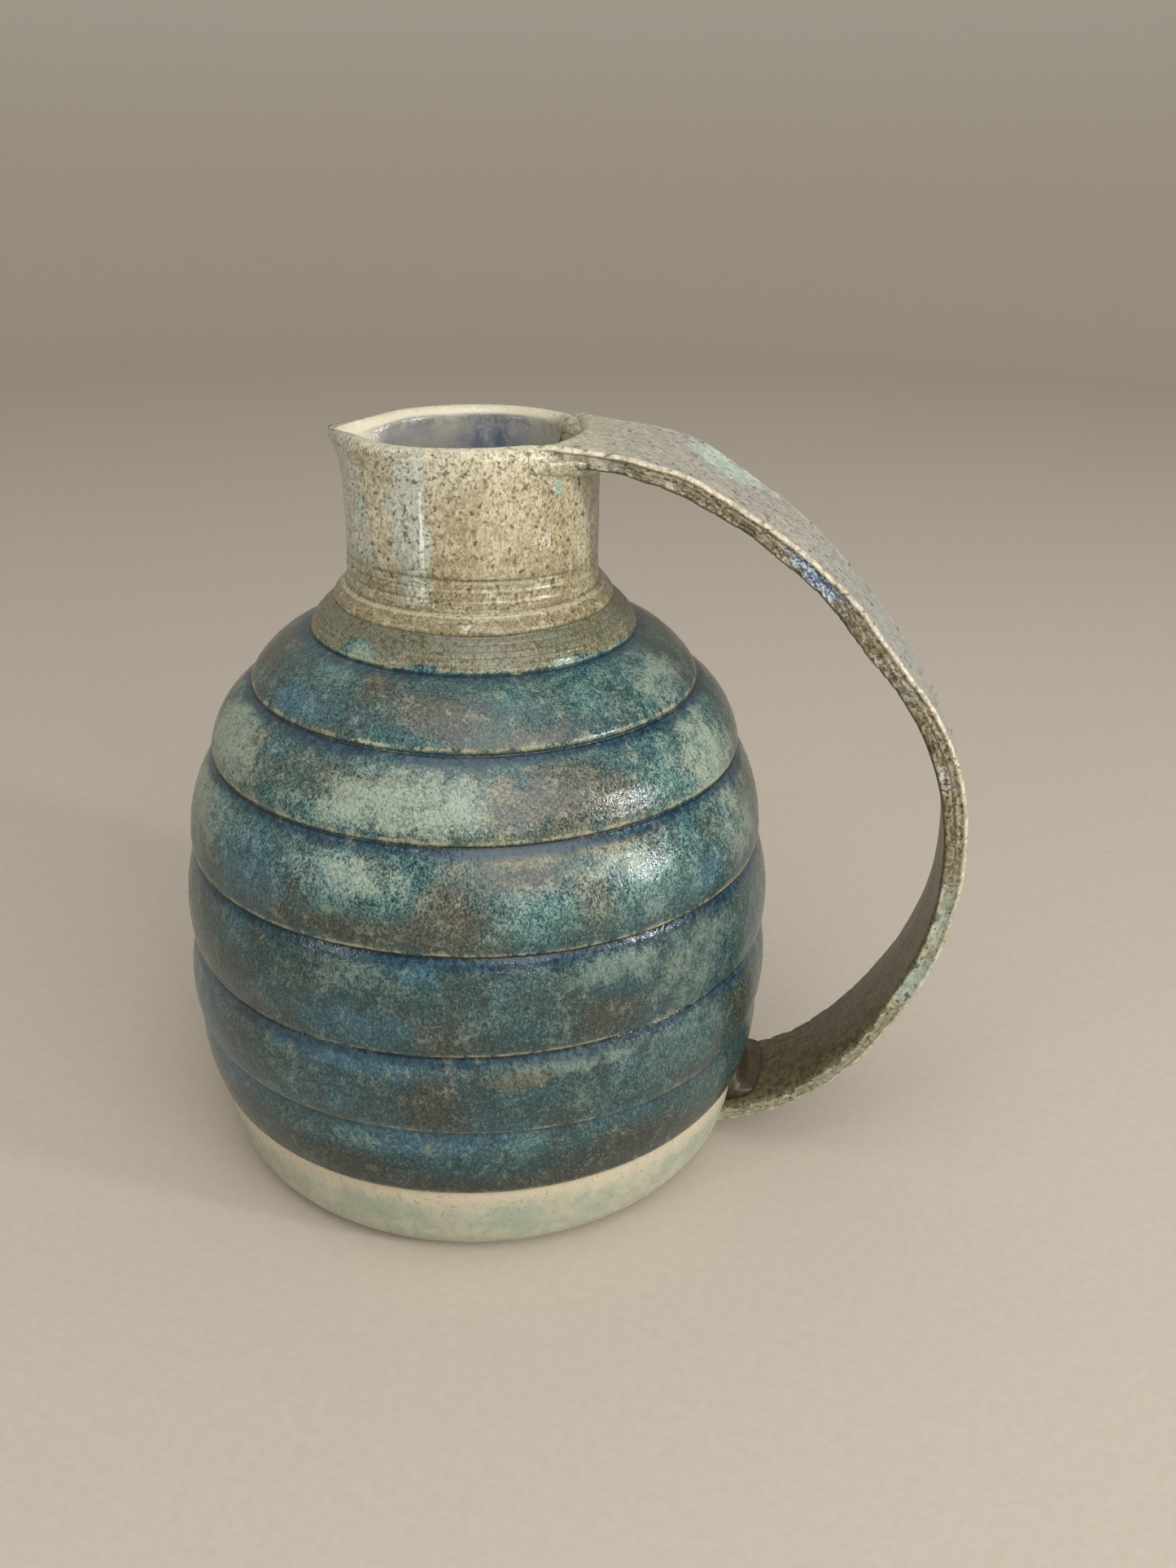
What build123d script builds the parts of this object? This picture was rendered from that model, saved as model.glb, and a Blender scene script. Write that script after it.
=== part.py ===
from build123d import *
import math
import os

# A hand-thrown stoneware pitcher. A banded, closed-in body carries a narrow neck that was
# thrown separately and luted on with a coil of clay. The neck's rim is pinched into a small
# pouring lip, and a wide strap handle, cut from a slab, loops from the rim to the foot.
# Millimetres, +Z up. The origin is on the body's axis, on the surface that the pitcher
# stands on. The handle points along +X and the pouring lip along -X.

# Driving dimensions
HEIGHT = 200.0
FLOOR = 9.0
FOOT_RADIUS = 65.5
FOOT_BULGE = 0.5
BAND_BULGE = 2.0
COLLAR_BULGE = 0.8
NECK_RADIUS = 32.3
NECK_BORE = 26.5
SEAM_HEIGHT = 157.5
SEAM_RADIUS = 36.6
COIL_HEIGHT = 4.9
RIM_ROUNDING = 2.4
LIP_START = 181.0
LIP_REACH = 39.5
LIP_DROP = 2.0
LIP_WIDTH_ANGLE = 0.34
STRAP_THICKNESS = 5.0
STRAP_ROOT_WIDTH = 38.0
STRAP_MIDDLE_WIDTH = 33.0
STRAP_END_WIDTH = 29.0
UPPER_PAD_HALF_ANGLE = 34.0
UPPER_WEDGE_HALF_ANGLE = 23.0
LOWER_PAD_HALF_ANGLE = 9.5

# The grooves between the bands, as radius and height, from the glaze line up to the shoulder.
GLAZE_LINE = (77.0, 24.0)
GROOVES = [
    (79.8, 44.6),
    (78.8, 66.8),
    (76.5, 92.9),
    (69.5, 118.2),
    (58.2, 136.1),
    (42.3, 149.6),
]

# The strap's middle line in the XZ plane, from inside the rim round to inside the foot.
STRAP_ROUTE = [
    (26.0, 196.6),
    (44.0, 195.4),
    (60.0, 189.4),
    (80.0, 178.0),
    (98.0, 161.5),
    (114.0, 141.5),
    (124.5, 120.0),
    (127.8, 97.0),
    (125.6, 76.0),
    (116.5, 52.0),
    (101.5, 29.5),
    (87.0, 17.5),
    (68.0, 9.5),
]


def bulged_arc(start, end, bulge):
    """An arc from start to end that stands out by bulge, to the right of the way up."""
    (r0, z0), (r1, z1) = start, end
    length = math.hypot(r1 - r0, z1 - z0)
    middle = ((r0 + r1) / 2 + bulge * (z1 - z0) / length, (z0 + z1) / 2 - bulge * (r1 - r0) / length)
    return ThreePointArc(start, middle, end)


def revolved(outline, arc=360.0):
    """Turns a closed outline, drawn as radius and height, about the body's axis."""
    face = Plane.XZ * make_face(outline)
    return revolve(face, Axis.Z, revolution_arc=arc)


def sector(outline, half_angle):
    """The outline turned about the body's axis, to half_angle each side of the handle."""
    return Rot(Z=-half_angle) * revolved(outline, 2 * half_angle)


def body_skin():
    """The outside of the body from the foot's edge to the seam, as a chain of arcs."""
    heel_start, heel_end = (FOOT_RADIUS, 0.0), (73.6, 7.0)
    seam = (SEAM_RADIUS, SEAM_HEIGHT)
    heel = ThreePointArc(heel_start, (71.0, 2.3), heel_end)
    foot_band = bulged_arc(heel_end, GLAZE_LINE, FOOT_BULGE)
    stops = [GLAZE_LINE, *GROOVES]
    bands = [bulged_arc(low, high, BAND_BULGE) for low, high in zip(stops, stops[1:])]
    collar = bulged_arc(GROOVES[-1], seam, COLLAR_BULGE)
    return [heel, foot_band, *bands, collar]


def body_envelope():
    """The body with no hollow, for trimming the pieces that are luted to it."""
    closing = Polyline((SEAM_RADIUS, SEAM_HEIGHT), (0, SEAM_HEIGHT), (0, 0), (FOOT_RADIUS, 0))
    return revolved(body_skin() + [closing])


def thrown_body():
    """The thrown body: banded wall, rounded heel, flat floor, and a flat seat at the seam."""
    floor_edge = (57.0, FLOOR)
    wall_start = (71.3, 25.0)
    inside = [
        ThreePointArc(floor_edge, (67.3, 14.0), wall_start),
        Spline(
            wall_start,
            (73.6, 45.0),
            (73.2, 67.0),
            (70.6, 91.5),
            (63.8, 115.0),
            (53.5, 131.0),
            (38.5, 143.8),
            (29.5, 150.5),
            (NECK_BORE, SEAM_HEIGHT),
        ),
    ]
    seat = Line((SEAM_RADIUS, SEAM_HEIGHT), (NECK_BORE, SEAM_HEIGHT))
    base = Polyline((FOOT_RADIUS, 0), (0, 0), (0, FLOOR), floor_edge)
    return revolved(body_skin() + [seat, *inside, base])


def lip_flare(height, reach):
    """How far the pouring lip stands out of the neck at a height."""
    rise = max(0.0, height - LIP_START) / (HEIGHT - LIP_START)
    return reach * rise**1.7


def neck_section(height, radius, flare):
    """A closed curve round the neck, pulled out towards -X by flare over the lip's width."""
    points = []
    count = 28
    for i in range(count):
        # Points crowd towards the lip, at half a turn.
        turn = 2 * math.pi * i / count
        angle = turn + 0.45 * math.sin(turn)
        off_lip = math.atan2(math.sin(angle - math.pi), math.cos(angle - math.pi))
        r = radius + flare * math.exp(-((off_lip / LIP_WIDTH_ANGLE) ** 2))
        points.append((r * math.cos(angle), r * math.sin(angle)))
    return Pos(0, 0, height) * make_face(Spline(*points, periodic=True))


def lip_heights(top):
    """The heights of the neck's sections: one straight stretch, then the lip in short steps."""
    steps = 6
    return [LIP_START + (top - LIP_START) * i / steps for i in range(steps + 1)]


def neck_envelope():
    """The neck's outside with no bore; its rim is rounded over the last millimetres."""
    reach = LIP_REACH - NECK_RADIUS
    rim = {HEIGHT - RIM_ROUNDING: 0.0, HEIGHT - RIM_ROUNDING / 3: 0.8, HEIGHT: 2.2}
    sections = [neck_section(SEAM_HEIGHT, NECK_RADIUS, 0.0)]
    for height in lip_heights(HEIGHT - RIM_ROUNDING)[:-1] + list(rim):
        sections.append(neck_section(height, NECK_RADIUS - rim.get(height, 0.0), lip_flare(height, reach)))
    return loft(sections, ruled=True)


def thrown_neck():
    """The neck: a thrown cylinder with a straight bore and a pinched pouring lip."""
    reach = LIP_REACH - NECK_RADIUS + 2.0
    sections = [neck_section(SEAM_HEIGHT - 1.0, NECK_BORE, 0.0)]
    for height in lip_heights(HEIGHT + 1.0):
        sections.append(neck_section(height, NECK_BORE, lip_flare(height, reach)))
    bore = loft(sections, ruled=True)
    dip_start, dip_end = -24.0, -44.0
    depth = LIP_DROP * (dip_start - dip_end) / (dip_start + LIP_REACH)
    low_lip = Polyline((dip_start, HEIGHT), (dip_end, HEIGHT - depth), (dip_end, HEIGHT + 2), close=True)
    dip = extrude(Plane.XZ * make_face(low_lip), NECK_RADIUS, both=True)
    return neck_envelope() - bore - dip


def neck_luting_coil():
    """The coil of clay pressed round the seam: a steep fillet that ends in a small ledge."""
    inner = (NECK_RADIUS, SEAM_HEIGHT)
    top = (NECK_RADIUS, SEAM_HEIGHT + COIL_HEIGHT)
    crest = (NECK_RADIUS + 1.0, SEAM_HEIGHT + COIL_HEIGHT - 0.5)
    edge = (SEAM_RADIUS - 0.2, SEAM_HEIGHT + 1.4)
    middle = ((crest[0] + edge[0]) / 2 - 0.1, (crest[1] + edge[1]) / 2 + 0.1)
    toe = (SEAM_RADIUS, SEAM_HEIGHT)
    slope = ThreePointArc(crest, middle, edge)
    ring = revolved([Polyline(inner, top, crest), slope, Polyline(edge, toe, inner)])
    return ring - neck_envelope()


def strap_handle():
    """The slab strap: its side profile, narrowed from the rim to the foot in front view."""
    middle = Spline(*STRAP_ROUTE)
    stations = [i / 24 for i in range(25)]
    outer, inner = [], []
    for t in stations:
        point, along = middle @ t, middle % t
        across = Vector(-along.Y, along.X) * (STRAP_THICKNESS / 2)
        outer.append(point + across)
        inner.append(point - across)
    outline = [Spline(*outer), Line(outer[-1], inner[-1]), Spline(*inner), Line(inner[0], outer[0])]
    profile = extrude(Plane.XZ * make_face(outline), STRAP_ROOT_WIDTH, both=True)

    half_root, half_middle, half_end = STRAP_ROOT_WIDTH / 2, STRAP_MIDDLE_WIDTH / 2, STRAP_END_WIDTH / 2
    edge = [(half_root, HEIGHT + 2), (half_middle + 0.6, HEIGHT - 10), (half_middle, HEIGHT / 2), (half_end, 0)]
    right = Spline(*edge)
    left = Spline(*[(-y, z) for y, z in edge])
    front = [right, Line(edge[-1], (-half_end, 0)), left, Line((-half_root, HEIGHT + 2), edge[0])]
    taper = extrude(Plane.YZ * make_face(front), 150.0)
    return (profile & taper) - neck_envelope() - body_envelope()


def upper_joint_pad(strap):
    """Clay smeared round the neck under the strap's root, thicker where the strap covers it."""
    wall, ledge, tip = NECK_RADIUS - 1.5, NECK_RADIUS + 2.0, NECK_RADIUS + 7.5
    low, high = HEIGHT - 8.6, HEIGHT - 4.2
    crescent = [
        Line((wall, low), (ledge, low)),
        ThreePointArc((ledge, low), (ledge + 0.7, low + 1.2), (ledge, high)),
        Polyline((ledge, high), (wall, high), (wall, low)),
    ]
    wedge = [
        Line((wall, low), (ledge, low)),
        ThreePointArc((ledge, low), (ledge + 2.8, low + 1.0), (tip, low + 3.2)),
        Polyline((tip, low + 3.2), (tip, high), (wall, high), (wall, low)),
    ]
    pad = sector(crescent, UPPER_PAD_HALF_ANGLE) + sector(wedge, UPPER_WEDGE_HALF_ANGLE)
    return pad - neck_envelope() - strap


def lower_joint_pad(strap):
    """Clay pressed into the angle between the strap's end and the foot."""
    start, end = (75.5, 25.6), (83.4, 18.4)
    outline = [
        ThreePointArc(start, (78.9, 20.9), end),
        Polyline(end, (82.0, 15.0), (70.0, 11.0), start),
    ]
    return sector(outline, LOWER_PAD_HALF_ANGLE) - body_envelope() - strap


strap = strap_handle()
pieces = {
    "thrown_body": thrown_body(),
    "thrown_neck": thrown_neck(),
    "neck_luting_coil": neck_luting_coil(),
    "strap_handle": strap,
    "upper_joint_pad": upper_joint_pad(strap),
    "lower_joint_pad": lower_joint_pad(strap),
}

os.makedirs("parts", exist_ok=True)
for name, piece in pieces.items():
    piece.label = name
    export_step(piece, f"parts/{name}.step")
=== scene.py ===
import math

import bpy
import numpy as np
from mathutils import Matrix, Vector


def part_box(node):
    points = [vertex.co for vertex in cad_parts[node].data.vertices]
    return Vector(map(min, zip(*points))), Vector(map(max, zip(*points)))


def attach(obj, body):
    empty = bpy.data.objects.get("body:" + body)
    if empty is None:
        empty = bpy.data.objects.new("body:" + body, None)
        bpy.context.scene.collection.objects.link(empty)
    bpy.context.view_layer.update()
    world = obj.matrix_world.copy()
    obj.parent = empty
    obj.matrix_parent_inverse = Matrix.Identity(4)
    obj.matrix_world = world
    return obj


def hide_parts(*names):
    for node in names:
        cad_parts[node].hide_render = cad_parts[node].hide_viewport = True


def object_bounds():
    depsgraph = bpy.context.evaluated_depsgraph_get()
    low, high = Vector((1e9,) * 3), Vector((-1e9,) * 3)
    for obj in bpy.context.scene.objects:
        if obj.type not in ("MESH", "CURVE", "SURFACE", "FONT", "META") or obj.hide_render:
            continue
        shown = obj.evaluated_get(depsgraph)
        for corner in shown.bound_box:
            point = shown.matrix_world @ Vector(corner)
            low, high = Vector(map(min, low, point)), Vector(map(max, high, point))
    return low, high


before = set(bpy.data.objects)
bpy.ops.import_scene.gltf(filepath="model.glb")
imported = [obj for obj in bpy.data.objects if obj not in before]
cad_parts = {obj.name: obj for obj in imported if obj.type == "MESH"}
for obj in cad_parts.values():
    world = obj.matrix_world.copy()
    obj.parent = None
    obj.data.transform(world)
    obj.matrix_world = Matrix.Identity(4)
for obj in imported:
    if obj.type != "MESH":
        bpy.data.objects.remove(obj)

# A hand-thrown stoneware pitcher: banded teal body, oatmeal neck with a pinched lip, and a
# slab strap handle. Lengths in this file are millimetres until a mesh is made, in the frame's
# axes: +Z up, +X towards the handle, the origin on the body's axis at the table.
MM = 0.001
cad_low, cad_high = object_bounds()

body_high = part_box("thrown_body")[1] / MM
neck_low, neck_high = [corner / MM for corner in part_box("thrown_neck")]
RIM_HEIGHT = neck_high.z
SEAM_HEIGHT = body_high.z
NECK_RADIUS = neck_high.y
NECK_WALL = 5.8
NECK_BORE = NECK_RADIUS - NECK_WALL
RIM_ROUNDING = 3.0
LIP_HEIGHT = 18.0
LIP_REACH = -neck_low.x
COIL_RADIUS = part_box("neck_luting_coil")[1].y / MM

# How finely each piece is divided.
BODY_COLUMNS = 264
NECK_COLUMNS = 288
COIL_COLUMNS = 256
STRAP_ROWS = 520

# The heel, from the edge of the flat base, is part of an ellipse: its half axes out and up, and
# how far it turns. The glaze stops above it.
FOOT_RADIUS = 65.5
HEEL_REACH = 8.8695
HEEL_RISE = 11.80438
HEEL_TURN = math.radians(66)
FLOOR_HEIGHT = 8.9
GLAZE_LINE = (76.9, 24.0)
# The body's grooves, from the lowest to the shoulder: radius, height, and how deep each is cut.
GROOVES = [
    (79.9, 44.6, 0.35),
    (79.0, 66.8, 0.9),
    (76.7, 92.9, 1.0),
    (69.7, 118.2, 1.0),
    (58.4, 136.1, 1.0),
    (42.4, 149.6, 0.8),
]
BAND_BULGES = [1.3, 1.8, 2.1, 2.4, 2.6, 2.2]
# The distance that stands for no groove nearby, and the parts of the body's surface.
FAR_OFF = 99.0
FOOT, BANDS, COLLAR, LINING = 0.0, 1.0, 2.0, 3.0

# The strap's middle line in the XZ plane, from inside the rim round to inside the foot.
STRAP_ROUTE = [
    (26.0, 196.6),
    (44.0, 195.4),
    (60.0, 189.4),
    (80.0, 178.0),
    (98.0, 161.5),
    (114.0, 141.5),
    (124.5, 120.0),
    (127.8, 97.0),
    (125.6, 76.0),
    (116.5, 52.0),
    (101.5, 29.5),
    (87.0, 17.5),
    (68.0, 9.5),
]
STRAP_THICKNESS = 5.0
LOWER_PAD_HALF_ANGLE = 9.8
# The hand-cut slab is uneven. Pairs of distance along it and a measure, all in millimetres: half
# its width on each side, how far the near edge's lip and under corner and the far edge stand out.
STRAP_NEAR_WIDTH = [(0, 18.8), (12, 18.4), (40, 17.2), (120, 16.6), (269, 14.6)]
STRAP_FAR_WIDTH = [
    (0, 18.8), (14, 18.2), (26, 19.4), (36, 18.6), (48, 15.4), (80, 14.4), (120, 13.6),
    (165, 13.6), (205, 14.2), (269, 14.6),
]
NEAR_LIP_LIFT = [
    (0, 0), (8, -1.0), (20, -0.9), (32, 0), (45, -0.7), (57, -0.6), (70, -0.2), (80, 0.4),
    (92, -0.1), (100, -0.2), (112, 0.9), (124, 1.0), (142, 0.7), (170, 0.3), (200, 0.5),
    (269, 0.3),
]
NEAR_UNDER_LIFT = [
    (0, 0.5), (16, 0.3), (22, 0), (50, 0), (58, -0.5), (75, -0.2), (90, -0.9), (105, 0),
    (116, 0.3), (130, 0), (196, 0.2), (212, 1.4), (240, 1.6), (269, 0.6),
]
FAR_EDGE_LIFT = [
    (0, 0), (10, -0.4), (18, 0.2), (30, 0.5), (42, 0), (52, -0.5), (72, -0.8), (92, -1.3),
    (110, -1.4), (121, -0.8), (132, 0.1), (150, 0.8), (170, 1.4), (196, 1.8), (212, 1.2),
    (235, 0.6), (269, 0),
]


def ease(x, stops):
    """A measure that changes smoothly between (place, value) stops."""
    places, values = np.array(stops, float).T
    span = np.clip(np.searchsorted(places, x, side="right") - 1, 0, len(places) - 2)
    t = np.clip((x - places[span]) / (places[span + 1] - places[span]), 0, 1)
    return values[span] + (values[span + 1] - values[span]) * t * t * (3 - 2 * t)


def ramp(x, start, end):
    """0 at start, 1 at end, and straight between them."""
    return np.clip((x - start) / (end - start), 0, 1)


def hill(x, middle, reach, power=2):
    """1 at the middle and fading either way. A higher power has a flatter top."""
    return np.exp(-(((x - middle) / reach) ** power))


def full_turn(count):
    """Angles evenly round the axis, as one row."""
    return np.linspace(0, 2 * math.pi, count, endpoint=False)[None, :]


def apart(angle, middle):
    """How far an angle is from the middle one, the short way round."""
    return np.arctan2(np.sin(angle - middle), np.cos(angle - middle))


def turned(radius, angle, height):
    """Points at a radius, an angle and a height about the body's axis."""
    x, y = radius * np.cos(angle), radius * np.sin(angle)
    return np.stack(np.broadcast_arrays(x, y, height), axis=-1)


def wobble(angle, seed, waves=(1, 2, 3, 5)):
    """A smooth, repeatable unevenness round the pot, between about -1 and 1."""
    total = np.zeros_like(np.asarray(angle, float))
    for wave in waves:
        total += np.sin(wave * angle + seed * 2.399 + wave * 1.13) / len(waves) ** 0.5
    return total


def ripple(x, seed, wavelength, octaves=4):
    """Uneven ripples along a line, between about -1 and 1, with finer ones added by each octave."""
    total = np.zeros_like(np.asarray(x, float))
    weight = 0.0
    for octave in range(octaves):
        scale = 2.0**octave * (1 + 0.13 * octave)
        phase = seed * 1.7 + octave * 2.1
        wave = np.sin(2 * math.pi * x * scale / wavelength + phase)
        wave = wave * np.sin(2 * math.pi * x * scale * 0.37 / wavelength + phase * 2.3)
        total += wave * 0.62**octave
        weight += 0.62**octave * 0.7
    return total / weight


def smooth_line(points, count):
    """Points spaced evenly along a smooth curve through the given ones, with its directions."""
    points = np.array(points, float)
    chord = np.concatenate([[0], np.cumsum(np.hypot(*np.diff(points, axis=0).T))])
    gaps = np.diff(chord)
    size = len(points)
    system = np.eye(size)
    slopes = np.zeros((size, 2))
    for i in range(1, size - 1):
        system[i, i - 1 : i + 2] = gaps[i - 1], 2 * (gaps[i - 1] + gaps[i]), gaps[i]
        rise = (points[i + 1] - points[i]) / gaps[i] - (points[i] - points[i - 1]) / gaps[i - 1]
        slopes[i] = 6 * rise
    bends = np.linalg.solve(system, slopes)
    where = np.linspace(0, chord[-1], count)
    span = np.clip(np.searchsorted(chord, where, side="right") - 1, 0, size - 2)
    gap, left = gaps[span][:, None], (where - chord[span])[:, None]
    right = gap - left
    line = (bends[span] * right**3 + bends[span + 1] * left**3) / (6 * gap)
    line += (points[span] / gap - bends[span] * gap / 6) * right
    line += (points[span + 1] / gap - bends[span + 1] * gap / 6) * left
    direction = np.gradient(line, axis=0)
    direction /= np.hypot(*direction.T)[:, None]
    return line, direction, where


def ring_mesh(name, points, marks, closed_rows=False, caps=False):
    """A mesh from a grid of points in millimetres. Columns join round; rows join too if asked.

    With caps, the first and last rows close on their own middle point. marks is a dictionary of
    values, one for each point, row or column, kept as attributes for the materials to read.
    """
    rows, columns = points.shape[:2]
    vertices = points.reshape(-1, 3) * MM
    index = np.arange(rows * columns).reshape(rows, columns)
    around = np.roll(index, -1, axis=1)
    last = rows if closed_rows else rows - 1
    upper, upper_around = np.roll(index, -1, axis=0), np.roll(around, -1, axis=0)
    quads = np.stack([index, around, upper_around, upper], axis=-1)[:last].reshape(-1, 4)
    faces = quads.tolist()
    values = {}
    for key, value in marks.items():
        values[key] = np.broadcast_to(np.asarray(value, float), (rows, columns)).reshape(-1)
    if caps:
        for row, flip in ((0, True), (rows - 1, False)):
            middle = len(vertices)
            vertices = np.vstack([vertices, vertices[index[row]].mean(axis=0)])
            for key in values:
                values[key] = np.append(values[key], values[key][index[row]].mean())
            for a, b in zip(index[row].tolist(), around[row].tolist()):
                faces.append((b, a, middle) if flip else (a, b, middle))
    mesh = bpy.data.meshes.new(name)
    mesh.from_pydata(vertices.tolist(), [], faces)
    mesh.validate()
    mesh.polygons.foreach_set("use_smooth", [True] * len(mesh.polygons))
    for key, value in values.items():
        mesh.attributes.new(key, "FLOAT", "POINT").data.foreach_set("value", value.astype(np.float32))
    mesh.update()
    piece = bpy.data.objects.new(name, mesh)
    bpy.context.scene.collection.objects.link(piece)
    return piece


def spread(count, crowding):
    """Steps from 0 to 1 that crowd towards both ends."""
    t = np.linspace(0, 1, count)
    return t - crowding * np.sin(2 * math.pi * t) / (2 * math.pi)


# ---------------------------------------------------------------- glaze patches

# Where the glazes pooled, broke and ran: azimuth and height of a patch's middle, its reach each
# way (degrees, millimetres), and how strong it is. Azimuth 0 is the handle's side.
PATCHES = {
    "celadon": [
        (-143, 128, 15, 7, 1.0), (-92, 127, 15, 6.0, 0.95), (-80, 127, 7, 6, 0.7),
        (-152, 108, 14, 10, 0.9), (-96, 111, 9, 4.5, 0.7), (-50, 112, 9, 3.0, 0.6),
        (-98, 87, 8, 4.5, 0.55), (-18, 143, 13, 5, 0.7), (-17, 126, 11, 9, 0.9),
        (-14, 106, 10, 9, 0.6), (-32, 82, 12, 10, 0.5), (-51, 87, 9, 3.8, 0.85),
        (-60, 63.5, 15, 3.0, 0.85), (-118, 152, 5, 2.5, 0.6), (20, 128, 14, 6, 0.9),
        (52, 104, 16, 7, 0.8), (95, 128, 18, 6, 1.0), (130, 108, 12, 6, 0.7),
        (160, 60, 15, 7, 0.7), (70, 60, 12, 7, 0.6), (110, 84, 12, 7, 0.6),
    ],
    "turquoise": [
        (-120, 147, 11, 3.0, 0.7), (-62, 147, 12, 2.6, 0.5), (-44, 145, 8, 3.5, 0.55),
        (-24, 143, 9, 4, 0.6), (-105, 122, 7, 4, 0.9), (-33, 126, 6, 7, 0.55),
        (-138, 112, 12, 7, 0.7), (-34, 108, 7, 6, 0.5), (-68, 87, 9, 4, 0.5),
        (-101, 40, 9, 4, 0.6), (-101, 109, 10, 7, 0.9), (-65, 102, 9, 6, 0.8),
        (-44, 104, 7, 7, 0.9), (-40, 82, 7, 7, 0.5), (-70, 78, 9, 6, 0.4), (-36, 59, 9, 8, 0.8),
        (-52, 54, 12, 5, 0.4), (-68, 41, 5, 5, 0.9), (-110, 57, 8, 6, 0.35), (-80, 34, 7, 4, 0.35),
        (-118, 151.5, 9, 3.4, 1.0), (-46, 150.3, 5, 2.2, 0.9), (15, 144, 14, 4, 0.7),
        (60, 143, 12, 4, 0.8), (100, 110, 10, 7, 0.8), (150, 142, 16, 4, 0.8),
        (35, 82, 12, 8, 0.6), (150, 84, 10, 8, 0.7), (100, 42, 9, 5, 0.7), (20, 56, 10, 6, 0.6),
    ],
    "brown": [
        (-160, 144, 14, 5, 0.8), (-104, 147, 6, 2.2, 0.9), (-85, 144, 13, 4.5, 0.9),
        (-52, 141, 8, 2.5, 0.5), (-92, 27, 44, 2.6, 0.85), (-40, 28, 24, 3.5, 0.85),
        (-62, 139, 11, 2.0, 0.7), (-131, 130, 4, 5, 0.8), (-56, 128, 15, 8, 1.0),
        (-118, 128, 5, 4, 0.4), (-81, 103, 6, 9, 0.95), (-66, 112, 10, 3.5, 0.8),
        (-54, 105, 5, 8, 0.75), (-100, 98, 16, 2.6, 0.9), (-136, 76, 13, 8, 0.4),
        (-53, 75, 9, 6, 0.9), (-118, 88, 5, 4, 0.5), (-82, 72, 6, 6, 0.4), (-83, 99, 8, 5, 0.7),
        (-84, 50, 5, 7, 0.7), (-126, 56, 10, 7, 0.5), (-83, 64, 5, 20, 0.45),
        (-85, 54, 4, 8, 0.95), (-120, 66, 8, 5, 0.4), (-18, 56, 9, 10, 0.9), (-47, 33, 16, 7, 1.0),
        (-103, 31, 14, 4.5, 0.9), (-72, 28, 22, 2.6, 0.8), (2, 100, 10, 10, 0.6),
        (40, 128, 12, 7, 0.9), (75, 145, 10, 4, 0.7), (125, 145, 9, 4, 0.7),
        (125, 128, 12, 7, 0.8), (78, 106, 9, 9, 0.8), (165, 105, 14, 8, 0.8), (60, 80, 10, 8, 0.8),
        (130, 80, 10, 9, 0.8), (175, 82, 10, 9, 0.7), (45, 55, 12, 8, 0.8), (130, 56, 14, 8, 0.8),
        (10, 33, 18, 7, 0.9), (80, 33, 20, 7, 0.9), (145, 32, 18, 6, 0.9),
    ],
    "blue": [
        (-126, 141, 12, 3.5, 0.8), (-98, 141, 22, 3.0, 0.35), (-122, 106, 12, 9, 0.7),
        (-29, 102, 5, 5, 0.8), (-86, 90, 9, 4, 0.7), (-100, 75, 16, 5, 0.6), (-126, 88, 4, 4, 0.6),
        (-104, 64, 15, 3.4, 1.0), (-142, 50, 14, 30, 0.6), (-86, 64, 9, 3.5, 0.8),
        (-104, 52, 11, 7, 0.5), (-88, 42, 18, 4.5, 0.9), (-132, 44, 14, 4, 0.7),
        (-72, 43, 9, 3, 0.5), (-48, 44, 10, 2, 0.4), (30, 104, 10, 8, 0.6), (85, 88, 14, 4, 0.7),
        (0, 80, 10, 8, 0.4), (95, 64, 16, 3.5, 0.8), (165, 64, 14, 3.5, 0.8), (50, 42, 16, 4, 0.8),
        (170, 42, 16, 4, 0.8), (110, 140, 12, 3, 0.6),
    ],
    "ochre": [
        (-71, 127, 4, 6, 0.75), (-106, 148.5, 6, 1.1, 0.55), (-66, 115.5, 15, 1.5, 0.8),
        (-47, 115.5, 10, 1.4, 0.7), (-131, 132, 5, 2, 0.4), (-69, 60.5, 7, 2.6, 1.0),
        (-30, 91.5, 4, 1.4, 0.9), (-40, 84, 3, 2, 0.5), (-100, 131.5, 16, 1.3, 0.5),
        (-52, 65, 10, 1.6, 0.5), (-12, 109, 5, 3, 0.5), (28, 132, 8, 2, 0.8),
        (70, 115, 14, 1.6, 0.9), (140, 132, 10, 2, 0.8), (15, 91, 8, 1.5, 0.8),
        (115, 91, 9, 1.6, 0.8), (150, 115, 10, 1.6, 0.8),
    ],
}

# The pale green blotches on the foot, and the runs and drips of paler glaze on the neck.
FOOT_BLOTCHES = [
    (-97, 15, 9, 5, 1.0), (-70, 14, 7, 6, 1.0), (-54, 13, 5, 5, 0.8), (-122, 12, 8, 5, 0.5),
    (-30, 14, 7, 5, 0.5), (10, 13, 9, 5, 0.8), (50, 15, 8, 5, 0.9), (85, 13, 6, 5, 0.8),
    (125, 14, 10, 5, 0.9), (170, 14, 8, 5, 0.8),
]
NECK_RUNS = [
    (-106, 183, 8, 26, 0.9), (-98, 178, 4, 30, 0.9), (-150, 182, 23, 28, 0.85),
    (-128, 176, 10, 8, 0.35), (-84, 192, 7, 6, 0.35), (40, 182, 10, 24, 0.8),
    (95, 186, 14, 20, 0.8), (140, 180, 9, 26, 0.7),
]
# Narrow bright streaks on the neck: the edge of a thick white run, with a painted highlight along it.
NECK_STREAKS_AND_HIGHLIGHTS = [
    (-97.5, 181, 1.1, 9, 0.9), (-98.2, 166, 1.0, 4, 0.6), (44, 180, 1.1, 10, 0.7),
]
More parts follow.
